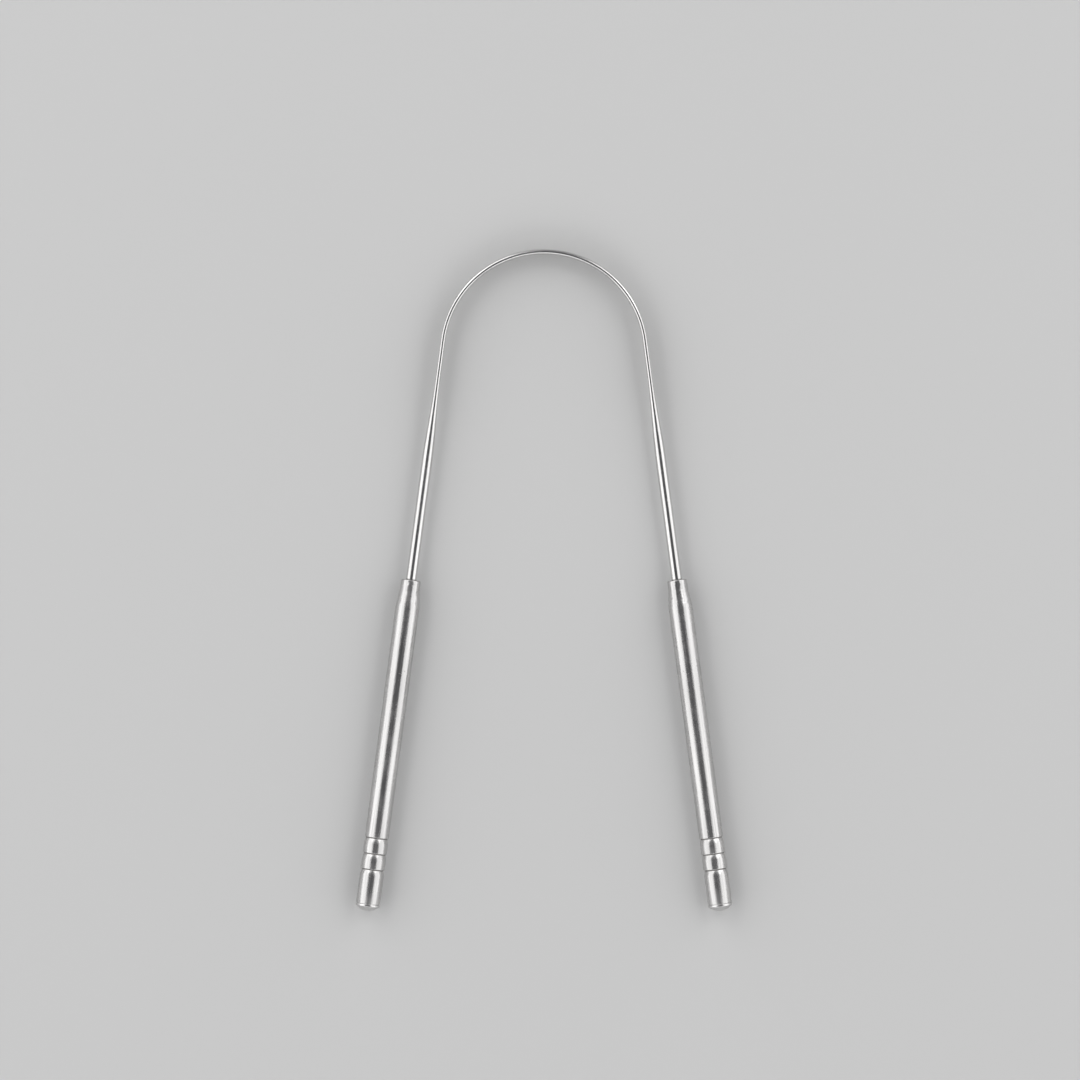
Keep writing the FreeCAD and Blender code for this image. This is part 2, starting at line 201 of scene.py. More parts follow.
class ShaderTree:
    """Node tree of a material or a world, filled by expressions."""

    def __init__(self, owner: Material | bpy.types.World) -> None:
        """Empties the owner's tree.

        Args:
            owner: The material or the world.
        """
        owner.use_nodes = True
        self.owner = owner
        self.nodes = owner.node_tree.nodes
        self.links = owner.node_tree.links
        self.nodes.clear()

    def node(self, kind: str, settings: dict[str, Any] | None = None,
             sockets: dict[str | int, Any] | None = None) -> Made:
        """Adds a node.

        Args:
            kind: Type name of the node.
            settings: Properties of the node; "stops" are the stops of a ramp.
            sockets: Numbers, colours or values for the inputs, by name or number.

        Returns:
            The node with its outputs.
        """
        node = self.nodes.new(kind)
        for key, value in (settings or {}).items():
            if key == "stops":
                self._set_stops(node.color_ramp, value)
            else:
                setattr(node, key, value)
        for key, value in (sockets or {}).items():
            if isinstance(value, Value):
                self.links.new(value.socket, node.inputs[key])
            else:
                node.inputs[key].default_value = value
        return Made(self, node)

    @staticmethod
    def _set_stops(ramp: bpy.types.ColorRamp, stops: Sequence[tuple[float, Colour]]) -> None:
        """Gives a ramp its stops.

        Args:
            ramp: The ramp.
            stops: Place and colour of each stop.
        """
        while len(ramp.elements) < len(stops):
            ramp.elements.new(1.0)
        for element, (place, colour) in zip(ramp.elements, stops, strict=True):
            element.position = place
            element.color = colour

    def math(self, operation: str, *values: Value | float) -> Value:
        """Adds a Math node."""
        return self.node("ShaderNodeMath", {"operation": operation}, dict(enumerate(values))).out()

    def surface(self) -> tuple[Value, Value]:
        """Reads the piece's own UV map.

        Returns:
            Millimetres along the piece and millimetres round it.
        """
        uv = self.node("ShaderNodeUVMap", {"uv_map": SURFACE_UV}).out()
        parts = self.node("ShaderNodeSeparateXYZ", None, {0: uv})
        return parts.out("X"), parts.out("Y")

    def place(self) -> Value:
        """Reads the object coordinates, in metres."""
        return self.node("ShaderNodeTexCoord").out("Object")

    def vector(self, x: Value | float, y: Value | float, z: Value | float = 0.0) -> Value:
        """Joins three values into a vector."""
        return self.node("ShaderNodeCombineXYZ", None, {0: x, 1: y, 2: z}).out()

    def noise(self, vector: Value, scale: float, detail: float = 2.0,
              roughness: float = 0.5) -> Value:
        """Adds noise.

        Args:
            vector: Where it is read.
            scale: Grains for each unit of length.
            detail: Octaves.
            roughness: Strength of the finer octaves.

        Returns:
            Noise from 0 to 1.
        """
        sockets = {"Vector": vector, "Scale": scale, "Detail": detail, "Roughness": roughness}
        return self.node("ShaderNodeTexNoise", None, sockets).out(0)

    def grain(self, along: Value, around: Value, counts: Pair, detail: float = 2.0,
              roughness: float = 0.5) -> Value:
        """Adds noise that is stretched over the surface.

        Args:
            along: Millimetres along the piece.
            around: Millimetres round it.
            counts: Grains for each millimetre along and round.
            detail: Octaves.
            roughness: Strength of the finer octaves.

        Returns:
            Noise from 0 to 1.
        """
        where = self.vector(along * counts[0], around * counts[1])
        return self.noise(where, 1.0, detail, roughness)

    def scratches(self, along: Value, around: Value, slant: tuple[Pair, Pair], fade: Pair) -> Value:
        """Draws thin handling scratches on a slant.

        Args:
            along: Millimetres along the piece.
            around: Millimetres round it.
            slant: Grains for each millimetre along and round: in the scratches' length and across.
            fade: Noise beside a scratch and in it.

        Returns:
            1 in a scratch, 0 beside it.
        """
        length, across = (along * first + around * second for first, second in slant)
        return self.noise(self.vector(length, across), 1.0, 1.0).above(*fade)

    def mix(self, factor: Value | float, first: Any, second: Any) -> Value:
        """Mixes two colours."""
        sockets = {0: factor, 6: first, 7: second}
        return self.node("ShaderNodeMix", {"data_type": "RGBA"}, sockets).out(2)

    def bump(self, height: Value, depth: float, strength: float = 1.0) -> Value:
        """Turns a height from 0 to 1 into a normal.

        Args:
            height: Height of the surface.
            depth: Height of 1, in metres.
            strength: Share of the effect.

        Returns:
            The bumped normal.
        """
        sockets = {"Height": height, "Distance": depth, "Strength": strength}
        return self.node("ShaderNodeBump", None, sockets).out("Normal")

    def finish(self, **sockets: Any) -> Material:
        """Ends the tree in one Principled shader.

        Args:
            **sockets: Its inputs, with underscores for spaces.

        Returns:
            The material.
        """
        inputs = {key.replace("_", " "): value for key, value in sockets.items()}
        shader = self.node("ShaderNodeBsdfPrincipled", None, inputs).out("BSDF")
        self.node("ShaderNodeOutputMaterial", None, {"Surface": shader})
        return self.owner


def grey(level: float, warmth: float = 0.0) -> Colour:
    """Gives a metal's grey.

    Args:
        level: Brightness.
        warmth: Amount taken from blue and half from green.

    Returns:
        An RGBA colour.
    """
    return (level, level - warmth / 2, level - warmth, 1.0)


@dataclass(frozen=True)
class Steel:
    """What the steel finishes share.

    Attributes:
        name: Name of the material.
        light: Grey of the brightest metal.
        dark: Grey of the dullest metal.
        shine: Roughness of clean metal.
        line_depth: Depth of the lines that the making left.
    """

    name: str
    light: float
    dark: float
    shine: float
    line_depth: float


@dataclass(frozen=True)
class PolishedSteel(Steel):
    """Drawn and polished rod: lengthwise lines, smudges, thin scratches, painted shade at the
    handle's mouth.

    Attributes:
        line_counts: Drawing lines for each millimetre along and round.
        band_counts: Bands of them for each millimetre along and round.
        smudge_count: Smudges for each metre.
        scratch_slant: Grains of the scratches for each millimetre along and round.
        scratch_fade: Noise beside a scratch and in it.
        mouth_place: Millimetres from the crown to the handle's mouth.
        painted_mouth_shade_fade: Millimetres from the mouth to where the painted shade ends and is
            full.
        painted_mouth_shade_grey: Grey of the painted shade.
    """

    name: str = "polished_steel"
    light: float = 0.72
    dark: float = 0.54
    shine: float = 0.10
    line_depth: float = 0.006 * MM
    line_counts: Pair = (0.06, 9.0)
    band_counts: Pair = (0.03, 2.4)
    smudge_count: float = 150.0
    scratch_slant: tuple[Pair, Pair] = ((0.35, 0.2), (-2.4, 7.0))
    scratch_fade: Pair = (0.68, 0.76)
    mouth_place: float = 81.0
    painted_mouth_shade_fade: Pair = (0.35, 0.05)
    painted_mouth_shade_grey: float = 0.12

    def build(self) -> Material:
        """Makes the material.

        Returns:
            The material.
        """
        tree = ShaderTree(bpy.data.materials.new(self.name))
        along, around = tree.surface()
        lines = tree.grain(along, around, self.line_counts, 3.0, 0.6)
        bands = tree.grain(along, around, self.band_counts).above(0.3, 0.7)
        smudges = tree.noise(tree.place(), self.smudge_count, 3.0, 0.55).above(0.45, 0.7)
        scratches = tree.scratches(along, around, self.scratch_slant, self.scratch_fade)
        # Painted shade: a dark band painted on the rod where it enters the handle's mouth, where
        # shade falls in the gap.
        painted_mouth_shade = (along - self.mouth_place).math("ABSOLUTE").above(*self.painted_mouth_shade_fade)
        metal = tree.mix(bands * 0.6 + lines * 0.4, grey(self.dark, 0.012),
                         grey(self.light, 0.014))
        colour = tree.mix(painted_mouth_shade * 0.7, metal, grey(self.painted_mouth_shade_grey, 0.015))
        roughness = (self.shine + lines * 0.08 + bands * 0.04 + smudges * 0.08
                     + scratches * 0.15 + painted_mouth_shade * 0.2)
        height = lines * 0.6 + bands * 0.5 - scratches * 0.3
        return tree.finish(Base_Color=colour, Metallic=1.0, Roughness=roughness,
                           Normal=tree.bump(height, self.line_depth))


@dataclass(frozen=True)
class SatinSteel(Steel):
    """Satin tube: drawn lines, small pits, handling marks, painted shade at the mouth and in the
    rings.

    Attributes:
        line_counts: Drawing lines for each millimetre along and round.
        streak_counts: Streaks for each millimetre along and round.
        polish_counts: Polishing lines for each millimetre along and round.
        haze_count: Hazy patches for each metre.
        scratch_slants: Grains of two sets of scratches for each millimetre along and round.
        scratch_fades: Noise beside a scratch and in it, for each set.
        pit_count: Cells for each millimetre that may hold a pit.
        pit_fade: Share of a cell from a pit's middle to its rim and to its bottom.
        pit_chance: Draws at which a cell starts to have a pit and has a full one.
        pit_grey: Grey of a pit.
        rim_width: Millimetres of painted shade at the rim of the mouth.
        ring_places: Millimetres from the mouth to the bottom of each ring.
        ring_width: Reach of the painted shade to each side of a ring's bottom.
        painted_shade_grey: Grey of the painted shade.
    """

    name: str = "satin_steel"
    light: float = 0.67
    dark: float = 0.42
    shine: float = 0.18
    line_depth: float = 0.004 * MM
    line_counts: Pair = (0.12, 9.0)
    streak_counts: Pair = (0.06, 2.2)
    polish_counts: Pair = (9.0, 0.12)
    haze_count: float = 190.0
    scratch_slants: tuple[tuple[Pair, Pair], ...] = (((0.30, 0.15), (-3.5, 7.0)),
                                                     ((-0.1, 0.35), (6.0, 1.7)))
    scratch_fades: tuple[Pair, ...] = ((0.72, 0.78), (0.74, 0.80))
    pit_count: float = 1.1
    pit_fade: Pair = (0.13, 0.05)
    pit_chance: Pair = (0.86, 0.9)
    pit_grey: float = 0.16
    rim_width: float = 0.1
    ring_places: tuple[float, ...] = ()
    ring_width: float = 0.22
    painted_shade_grey: float = 0.10

    def build(self) -> Material:
        """Makes the material.

        Returns:
            The material.
        """
        tree = ShaderTree(bpy.data.materials.new(self.name))
        along, around = tree.surface()
        drawn = tree.grain(along, around, self.line_counts, 4.0, 0.65)
        streaks = tree.grain(along, around, self.streak_counts, 3.0, 0.6).above(0.3, 0.7)
        polished = tree.grain(along, around, self.polish_counts, 2.0, 0.6)
        haze = tree.noise(tree.place(), self.haze_count, 4.0, 0.6)
        pits = self._pits(tree, tree.vector(along, around))
        sets = zip(self.scratch_slants, self.scratch_fades, strict=True)
        first, second = (tree.scratches(along, around, slant, fade) for slant, fade in sets)
        scratches = first + second
        # Painted shade: darker colour at the mouth's rim and in the bottom of each rolled ring,
        # where shade falls.
        painted_shade = self._painted_shade(along)
        metal = tree.mix(haze * 0.3 + drawn * 0.2 + streaks * 0.5, grey(self.dark, 0.010),
                         grey(self.light, 0.014))
        pitted = tree.mix(pits * 0.7, metal, grey(self.pit_grey, 0.02))
        colour = tree.mix(painted_shade * 0.75, pitted, grey(self.painted_shade_grey, 0.015))
        roughness = (self.shine + drawn * 0.05 + streaks * 0.06 + haze.above(0.35, 0.7) * 0.08
                     + pits * 0.25 + scratches * 0.12 + painted_shade * 0.3)
        relief = drawn * 0.5 + streaks * 0.6 + polished * 0.2 - pits * 0.5 - scratches * 0.3
        return tree.finish(Base_Color=colour, Metallic=1.0, Roughness=roughness,
                           Normal=tree.bump(relief, self.line_depth))

    def _pits(self, tree: ShaderTree, where: Value) -> Value:
        """Scatters small pits over a few cells of the surface.

        Args:
            tree: Tree of the material.
            where: Place on the surface, in millimetres.

        Returns:
            1 in a pit, 0 beside it.
        """
        sockets = {"Vector": where, "Scale": self.pit_count}
        cells = tree.node("ShaderNodeTexVoronoi", {"feature": "F1"}, sockets)
        chance = tree.node("ShaderNodeSeparateColor", None, {0: cells.out("Color")}).out(0)
        return cells.out("Distance").above(*self.pit_fade) * chance.above(*self.pit_chance)

    def _painted_shade(self, along: Value) -> Value:
        """Finds the painted shade at the rim of the mouth and at the bottom of each rolled ring.

        Args:
            along: Millimetres along the tube.

        Returns:
            Amount of painted shade.
        """
        painted_shade = along.above(self.rim_width, 0.0) * 0.6
        for place in self.ring_places:
            painted_shade = painted_shade + (along - place).math("ABSOLUTE").above(self.ring_width, 0.0)
        return painted_shade


@dataclass(frozen=True)
class TurnedSteel(Steel):
    """Turned plug: fine rings round its axis.

    Attributes:
        ring_counts: Turning rings for each millimetre along and round.
        mottle_count: Mottled patches for each metre.
    """

    name: str = "turned_steel"
    light: float = 0.66
    dark: float = 0.54
    shine: float = 0.2
    line_depth: float = 0.003 * MM
    ring_counts: Pair = (14.0, 0.05)
    mottle_count: float = 300.0

    def build(self) -> Material:
        """Makes the material.

        Returns:
            The material.
        """
        tree = ShaderTree(bpy.data.materials.new(self.name))
        along, around = tree.surface()
        rings = tree.grain(along, around, self.ring_counts, 3.0, 0.6)
        mottle = tree.noise(tree.place(), self.mottle_count, 3.0, 0.55)
        colour = tree.mix(rings * 0.6 + mottle * 0.4, grey(self.dark, 0.01),
                          grey(self.light, 0.014))
        roughness = self.shine + rings * 0.1 + mottle * 0.08
        return tree.finish(Base_Color=colour, Metallic=1.0, Roughness=roughness,
                           Normal=tree.bump(rings * 0.7 + mottle * 0.3, self.line_depth))


@dataclass(frozen=True)
class TurnedBrass:
    """Plain turned brass of the hidden collars, dulled in patches.

    Attributes:
        name: Name of the material.
        bright: Colour of clean brass.
        dull: Colour of the dulled patches.
        shine: Roughness of clean brass.
        patch_count: Patches for each metre.
        ring_count: Turning rings for each metre, before they are stretched.
        ring_stretch: Scale of the turning rings across and along the collar.
        line_depth: Depth of the turning rings.
    """

    name: str = "bush_brass"
    bright: Colour = (0.78, 0.60, 0.30, 1.0)
    dull: Colour = (0.50, 0.36, 0.16, 1.0)
    shine: float = 0.24
    patch_count: float = 420.0
    ring_count: float = 900.0
    ring_stretch: tuple[float, float, float] = (0.05, 9.0, 0.05)
    line_depth: float = 0.003 * MM

    def build(self) -> Material:
        """Makes the material.

        Returns:
            The material.
        """
        tree = ShaderTree(bpy.data.materials.new(self.name))
        place = tree.place()
        patches = tree.noise(place, self.patch_count, 3.0, 0.6)
        sockets = {"Vector": place, "Scale": self.ring_stretch}
        stretched = tree.node("ShaderNodeMapping", None, sockets).out()
        rings = tree.noise(stretched, self.ring_count)
        colour = tree.mix(patches.above(0.4, 0.65), self.bright, self.dull)
        roughness = self.shine + patches * 0.16 + rings * 0.08
        return tree.finish(Base_Color=colour, Metallic=1.0, Roughness=roughness,
                           Normal=tree.bump(rings, self.line_depth))


@dataclass(frozen=True)
class PaleFloor:
    """Plain pale floor with a faint tooth.

    Attributes:
        name: Name of the material.
        colour: Its grey.
        shine: Roughness of its lowest places.
        tooth_count: Grains of the tooth for each metre.
        tooth_depth: Depth of the tooth.
        tooth_share: Strength of the tooth.
    """

    name: str = "pale_floor"
    colour: Colour = (0.53, 0.53, 0.527, 1.0)
    shine: float = 0.55
    tooth_count: float = 900.0
    tooth_depth: float = 0.02 * MM
    tooth_share: float = 0.2

    def build(self) -> Material:
        """Makes the material.

        Returns:
            The material.
        """
        tree = ShaderTree(bpy.data.materials.new(self.name))
        tooth = tree.noise(tree.place(), self.tooth_count)
        return tree.finish(Base_Color=self.colour, Roughness=self.shine + tooth * 0.1,
                           Normal=tree.bump(tooth, self.tooth_depth, self.tooth_share))


def new_piece(name: str, bm: BMesh, material: Material, sharp: float = math.radians(40)) -> Object:
    """Turns a finished bmesh into an object at the origin.

    Args:
        name: Name of the piece.
        bm: Its mesh, which is freed.
        material: Its finish.
        sharp: Angle past which an edge stays sharp.

    Returns:
        The object, linked to the scene.
    """
    mesh = bpy.data.meshes.new(name)
    bm.to_mesh(mesh)
    bm.free()
    mesh.shade_smooth()
    mesh.set_sharp_from_angle(angle=sharp)
    mesh.materials.append(material)
    piece = bpy.data.objects.new(name, mesh)
    bpy.context.scene.collection.objects.link(piece)
    return piece


def unwrap(bm: BMesh, reading: Reading) -> None:
    """Writes a map of millimetres along and round the piece.

    Args:
        bm: The mesh.
        reading: Gives a vertex's length along, length round and full length round, in metres.
    """
    layer = bm.loops.layers.uv.new(SURFACE_UV)
    for face in bm.faces:
        readings = [reading(loop.vert) for loop in face.loops]
        shares = [turn / full for _, turn, full in readings]
        crosses = max(shares) - min(shares) > 0.5
        for loop, (along, turn, full), share in zip(face.loops, readings, shares, strict=True):
            wrapped = turn + full if crosses and share < 0.5 else turn
            loop[layer].uv = (along / MM, wrapped / MM)


@dataclass
class Bow:
    """The sprung bow: strip round the arch, then strip, taper and round rod down each leg.

    Attributes:
        arch_centre: Middle of the arch.
        arch_radius: Radius of the arch at the middle of the strip.
        splay: Angle of each leg to the middle plane.
        strip_thickness: Thickness of the rolled strip.
        rod_diameter: Diameter of the rod that the strip is rolled from.
        flat_leg: Straight strip below the arch.
        taper: Change from strip to rod.
        taper_ease: Share of the easing in the taper; the rest of it grows evenly.
        rod_in_sight: Rod above the handle.
        rod_in_handle: Rod inside the handle.
        end_chamfer: Chamfer on the rod's end.
        section_points: Points round a section.
        arch_steps: Sections in half the arch.
        flat_steps: Sections in the straight strip.
        taper_steps: Sections in the taper.
        rod_steps: Sections in the rod.
    """

    arch_centre: Vector
    arch_radius: float = 21.2 * MM
    splay: float = math.radians(7.6)
    strip_thickness: float = 1.0 * MM
    rod_diameter: float = 2.2 * MM
    flat_leg: float = 9.0 * MM
    taper: float = 15.4 * MM
    taper_ease: float = 0.6
    rod_in_sight: float = 26.0 * MM
    rod_in_handle: float = 18.0 * MM
    end_chamfer: float = 0.3 * MM
    section_points: int = 96
    arch_steps: int = 96
    flat_steps: int = 16
    taper_steps: int = 40
    rod_steps: int = 24

    @property
    def mouth(self) -> float:
        """Length from the arch to the handle's mouth."""
        return self.flat_leg + self.taper + self.rod_in_sight

    @property
    def mouth_from_crown(self) -> float:
        """Length from the crown to the handle's mouth."""
        return self.arch_radius * (math.pi / 2 - self.splay) + self.mouth

    def leg(self, side: Side) -> Leg:
        """Gives the centre line of a leg."""
        return Leg(side, self.arch_centre, self.arch_radius, self.splay)

    def width(self, thickness: float) -> float:
        """Width of the strip at a thickness, with as much metal as in the rod."""
        rod_area = math.pi * self.rod_diameter ** 2 / 4
        return thickness + (rod_area - math.pi * thickness ** 2 / 4) / thickness

    def thickness(self, distance: float) -> float:
        """Finds the strip's thickness.

        Args:
            distance: Length below the arch.

        Returns:
            The thickness there.
        """
        share = min(max((distance - self.flat_leg) / self.taper, 0.0), 1.0)
        eased = self.taper_ease * smooth(share) + (1 - self.taper_ease) * share
        return self.strip_thickness + eased * (self.rod_diameter - self.strip_thickness)

    def perimeter(self, thickness: float) -> float:
        """Length round a section."""
        return math.pi * thickness + 2 * (self.width(thickness) - thickness)

    def outline(self, share: float, thickness: float) -> Pair:
        """Finds a point on a round-edged section.

        Args:
            share: Share of the length round it, from the top of the outer face.
            thickness: Thickness of the section.

        Returns:
            The point's place across the strip and up.
        """
        radius = thickness / 2
        flat = self.width(thickness) - thickness
        turn = math.pi * radius
        length = share * self.perimeter(thickness)
        if length < turn:
            angle = length / radius
            return radius * math.cos(angle), flat / 2 + radius * math.sin(angle)
        if length < turn + flat:
            return -radius, flat / 2 - (length - turn)
        if length < 2 * turn + flat:
            angle = math.pi + (length - turn - flat) / radius
            return radius * math.cos(angle), -flat / 2 + radius * math.sin(angle)
        return radius, -flat / 2 + (length - 2 * turn - flat)

    def build_half(self, side: Side, material: Material) -> Object:
        """Builds the bow from the crown to one rod end.

        Args:
            side: Which half.
            material: Its finish.

        Returns:
            The piece.
        """
        bm = bmesh.new()
        share_of = bm.verts.layers.float.new("share")
        leg = self.leg(side)

        # Section at the crown
        made = bmesh.ops.create_circle(bm, segments=self.section_points, radius=self.rod_diameter)
        for number, vert in enumerate(made["verts"]):
            vert[share_of] = number / self.section_points
            across, up = self.outline(vert[share_of], self.strip_thickness)
            vert.co = self.arch_centre + Vector((0.0, self.arch_radius + across, up))
        ring = list(bm.edges)
        bmesh.ops.contextual_create(bm, geom=ring)

        # Half of the arch
        turned = bmesh.ops.spin(bm, geom=ring, cent=self.arch_centre, axis=UP * -side.value,
                                angle=math.pi / 2 - self.splay, steps=self.arch_steps)
        ring = [item for item in turned["geom_last"] if isinstance(item, BMEdge)]

        # Leg
        for distance in self._stations():
            thickness = self.thickness(distance)
            ring = self._next_ring(bm, ring, leg, distance, thickness, share_of)
        end = self.mouth + self.rod_in_handle
        shrink = 1 - 2 * self.end_chamfer / self.rod_diameter
        ring = self._next_ring(bm, ring, leg, end, self.rod_diameter, share_of, shrink)
        bmesh.ops.contextual_create(bm, geom=ring)

        bmesh.ops.remove_doubles(bm, verts=bm.verts, dist=MERGE)
        bmesh.ops.recalc_face_normals(bm, faces=bm.faces)
        unwrap(bm, lambda vert: self._reading(vert, leg, share_of))
        return new_piece(f"bow_{side.word}_half", bm, material)

    def _stations(self) -> Iterable[float]:
        """Lists where the leg has a section.

        Yields:
            Lengths below the arch.
        """
        start = 0.0
        runs = ((self.flat_leg, self.flat_steps), (self.taper, self.taper_steps),
                (self.rod_in_sight + self.rod_in_handle - self.end_chamfer, self.rod_steps))
        for length, steps in runs:
            for step in range(1, steps + 1):
                yield start + length * step / steps
            start += length

    def _next_ring(self, bm: BMesh, ring: list[BMEdge], leg: Leg, distance: float,
                   thickness: float, share_of: Any, shrink: float = 1.0) -> list[BMEdge]:
        """Extrudes the last section to the next place on the leg.

        Args:
            bm: The mesh.
            ring: Edges of the last section.
            leg: Centre line.
            distance: Length below the arch.
            thickness: Thickness of the new section.
            share_of: Layer with each point's share of the length round.
            shrink: Size of the new section.

        Returns:
            Edges of the new section.
        """
        new = bmesh.ops.extrude_edge_only(bm, edges=ring)["geom"]
        centre = leg.point(distance)
        verts = {item for item in new if isinstance(item, BMVert)}
        for vert in verts:
            across, up = self.outline(vert[share_of], thickness)
            vert.co = centre + (leg.outward * across + UP * up) * shrink
        edges = (item for item in new if isinstance(item, BMEdge))
        return [edge for edge in edges if set(edge.verts) <= verts]

    def _reading(self, vert: BMVert, leg: Leg, share_of: Any) -> tuple[float, float, float]:
        """Reads how far along and round the bow a vertex lies.

        Args:
            vert: The vertex.
            leg: Centre line of its leg.
            share_of: Layer with each point's share of the length round.

        Returns:
            Length from the crown, length round, and the full length round there.
        """
        offset = vert.co - self.arch_centre
        below = (vert.co - leg.point(0.0)).dot(leg.along)
        if below > 0:
            along = self.arch_radius * (math.pi / 2 - self.splay) + below
        else:
            along = self.arch_radius * math.atan2(abs(offset.x), offset.y)
        full = self.perimeter(self.thickness(max(below, 0.0)))
        return along, vert[share_of] * full, full

    def dress(self, material: Material) -> list[Object]:
        """Builds both halves.

        Args:
            material: Finish of the bow.

        Returns:
            The two pieces.
        """
        halves = []
        crown = self.arch_centre + Vector((0.0, self.arch_radius, 0.0))
        for side in Side:
            half = self.build_half(side, material)
            tuple(self.leg(side).point(self.flat_leg))
            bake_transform(half)
            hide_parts("scraper_bow")
            halves.append(half)
        return halves


def smooth(share: float) -> float:
    """Eases from 0 to 1 with level ends.

    Args:
        share: Share of the way; it is held between 0 and 1.

    Returns:
        The eased share.
    """
    held = min(max(share, 0.0), 1.0)
    return held ** 2 * (3 - 2 * held)


def arc(start: Pair, end: Pair, radius: float, bulge: int,
        steps: int) -> list[Pair]:
    """Rounds a stretch of a lathe profile.

    Args:
        start: First point, left out of the result.
        end: Last point.
        radius: Radius of the arc.
        bulge: 1 for an arc that bulges to the left of start to end, -1 for the right.
        steps: Straight pieces.

    Returns:
        The points after start.
    """
    first, last = Vector(start), Vector(end)
    chord = last - first
    normal = Vector((-chord.y, chord.x)).normalized() * bulge
    centre = (first + last) / 2 - normal * math.sqrt(max(radius ** 2 - chord.length ** 2 / 4, 0.0))
    begin = first - centre
    sweep = begin.angle_signed(last - centre)
    points = []
    for step in range(1, steps + 1):
        turned = Matrix.Rotation(-sweep * step / steps, 2) @ begin
        points.append(tuple(centre + turned))
    return points


@dataclass
class Handle:
    """One handle: tube with swaged neck, flare and rolled rings, a hidden collar and an end cap.

    Attributes:
        leg: Centre line of its leg.
        mouth: Length from the arch to the mouth.
        rod_diameter: Diameter of the rod that it holds.
        rod_clearance: Radial gap round the rod.
        tube_diameter: Outer diameter of the tube.
        tube_wall: Wall of the tube.
        tube_length: Mouth to tail face.
        neck: Length of the neck.
        flare: Length of the flare.
        flare_ease: How much steeper the flare's cone is than a straight line, to round its ends.
        mouth_round: Rounding of the mouth's outer edge.
        ring_count: Rolled rings.
        ring_pitch: From one ring to the next.
        ring_depth: Depth of a ring.
        ring_step: Length of a ring's steep side.
        ring_ramp: Length of a ring's long side.
        ramp_fullness: How far the ramp's arc is from a straight line.
        ring_setback: First ring to the tail face.
        cap_shank: Length of the plug in the tube.
        cap_chamfer: Chamfer on the plug's inner end.
        cap_rim: Thickness of the cap's rim.
        cap_dome: Height of the cap's dome.
        cap_seam: Chamfer where the cap meets the tube.
        plug_gap: Radial gap round the plug.
        swage_start: Mouth to the first swage dents.
        swage_end: Mouth to the last swage dents.
        swage_rise: Length over which the dents grow behind the mouth.
        swage_fall: Length over which they fade towards the grip.
        swage_depth: Depth of the dents.
        swage_grain: Length of a dent round the neck.
        swage_squeeze: How much shorter a dent is along the neck.
        swage_pitch: Distance of the mesh's rings in the dented stretch.
        edge_round: Bevel on sharp edges.
        edge_steps: Faces across a bevel.
        mouth_steps: Straight pieces in the mouth's rounding.
        arc_steps: Straight pieces in each arc of the flare and the rings.
        dome_steps: Straight pieces in the dome.
        turns: Points round a section.
    """

    leg: Leg
    mouth: float
    rod_diameter: float
    rod_clearance: float = 0.02 * MM
    tube_diameter: float = 5.0 * MM
    tube_wall: float = 0.7 * MM
    tube_length: float = 68.0 * MM
    neck: float = 1.6 * MM
    flare: float = 4.5 * MM
    flare_ease: float = 0.35
    mouth_round: float = 0.25 * MM
    ring_count: int = 3
    ring_pitch: float = 3.3 * MM
    ring_depth: float = 0.3 * MM
    ring_step: float = 0.15 * MM
    ring_ramp: float = 1.25 * MM
    ramp_fullness: float = 0.8
    ring_setback: float = 13.9 * MM
    cap_shank: float = 6.0 * MM
    cap_chamfer: float = 0.4 * MM
    cap_rim: float = 0.5 * MM
    cap_dome: float = 1.0 * MM
    cap_seam: float = 0.12 * MM
    plug_gap: float = 0.01 * MM
    swage_start: float = 0.3 * MM
    swage_end: float = 6.5 * MM
    swage_rise: float = 0.7 * MM
    swage_fall: float = 2.5 * MM
    swage_depth: float = 0.07 * MM
    swage_grain: float = 0.8 * MM
    swage_squeeze: float = 1.6
    swage_pitch: float = 0.15 * MM
    edge_round: float = 0.05 * MM
    edge_steps: int = 2
    mouth_steps: int = 5
    arc_steps: int = 8
    dome_steps: int = 16
    turns: int = 96

    @property
    def body(self) -> str:
        """Body that the handle belongs to."""
        return f"{self.leg.side.word}_handle"

    @property
    def origin(self) -> Vector:
        """Middle of the mouth."""
        return self.point(0.0)

    @property
    def tube_radius(self) -> float:
        """Outer radius of the tube."""
        return self.tube_diameter / 2

    @property
    def tube_bore(self) -> float:
        """Inner radius of the tube."""
        return self.tube_radius - self.tube_wall

    @property
    def rod_bore(self) -> float:
        """Radius of the hole that the rod goes through."""
        return self.rod_diameter / 2 + self.rod_clearance

    @property
    def neck_radius(self) -> float:
        """Outer radius of the neck, with as much metal in its wall as in the tube's."""
        return math.sqrt(self.rod_bore ** 2 + self.tube_radius ** 2 - self.tube_bore ** 2)

    @property
    def ring_places(self) -> list[float]:
        """Mouth to the steep side of each ring."""
        first = self.tube_length - self.ring_setback
        return [first + number * self.ring_pitch for number in range(self.ring_count)]

    def point(self, length: float) -> Vector:
        """Point of the handle's axis at a length from the mouth."""
        return self.leg.point(self.mouth + length)

    def tube_profile(self) -> list[Pair]:
        """Outline of the tube's wall.

        Returns:
            Points as radius and length from the mouth, closed on themselves.
        """
        outer, inner = self.tube_radius, self.tube_bore
        neck, bore = self.neck_radius, self.rod_bore
        shoulder, tail = self.neck + self.flare, self.tube_length
        points = [(bore, 0.0), (neck - self.mouth_round, 0.0)]
        points += arc(points[-1], (neck, self.mouth_round), self.mouth_round, -1, self.mouth_steps)
        points.append((neck, self.neck))
        points += self._flare(points[-1], (outer, shoulder))
        ramp_round = (self.ramp_fullness * (self.ring_ramp ** 2 + self.ring_depth ** 2)
                      / self.ring_depth)
        for place in self.ring_places:
            bottom = (outer - self.ring_depth, place + self.ring_step)
            points += [(outer, place), bottom]
            top = (outer, bottom[1] + self.ring_ramp)
            points += arc(bottom, top, ramp_round, -1, self.arc_steps)
        points += [(outer, tail), (inner, tail), (inner, shoulder)]
        points += self._flare(points[-1], (bore, self.neck))
        return points

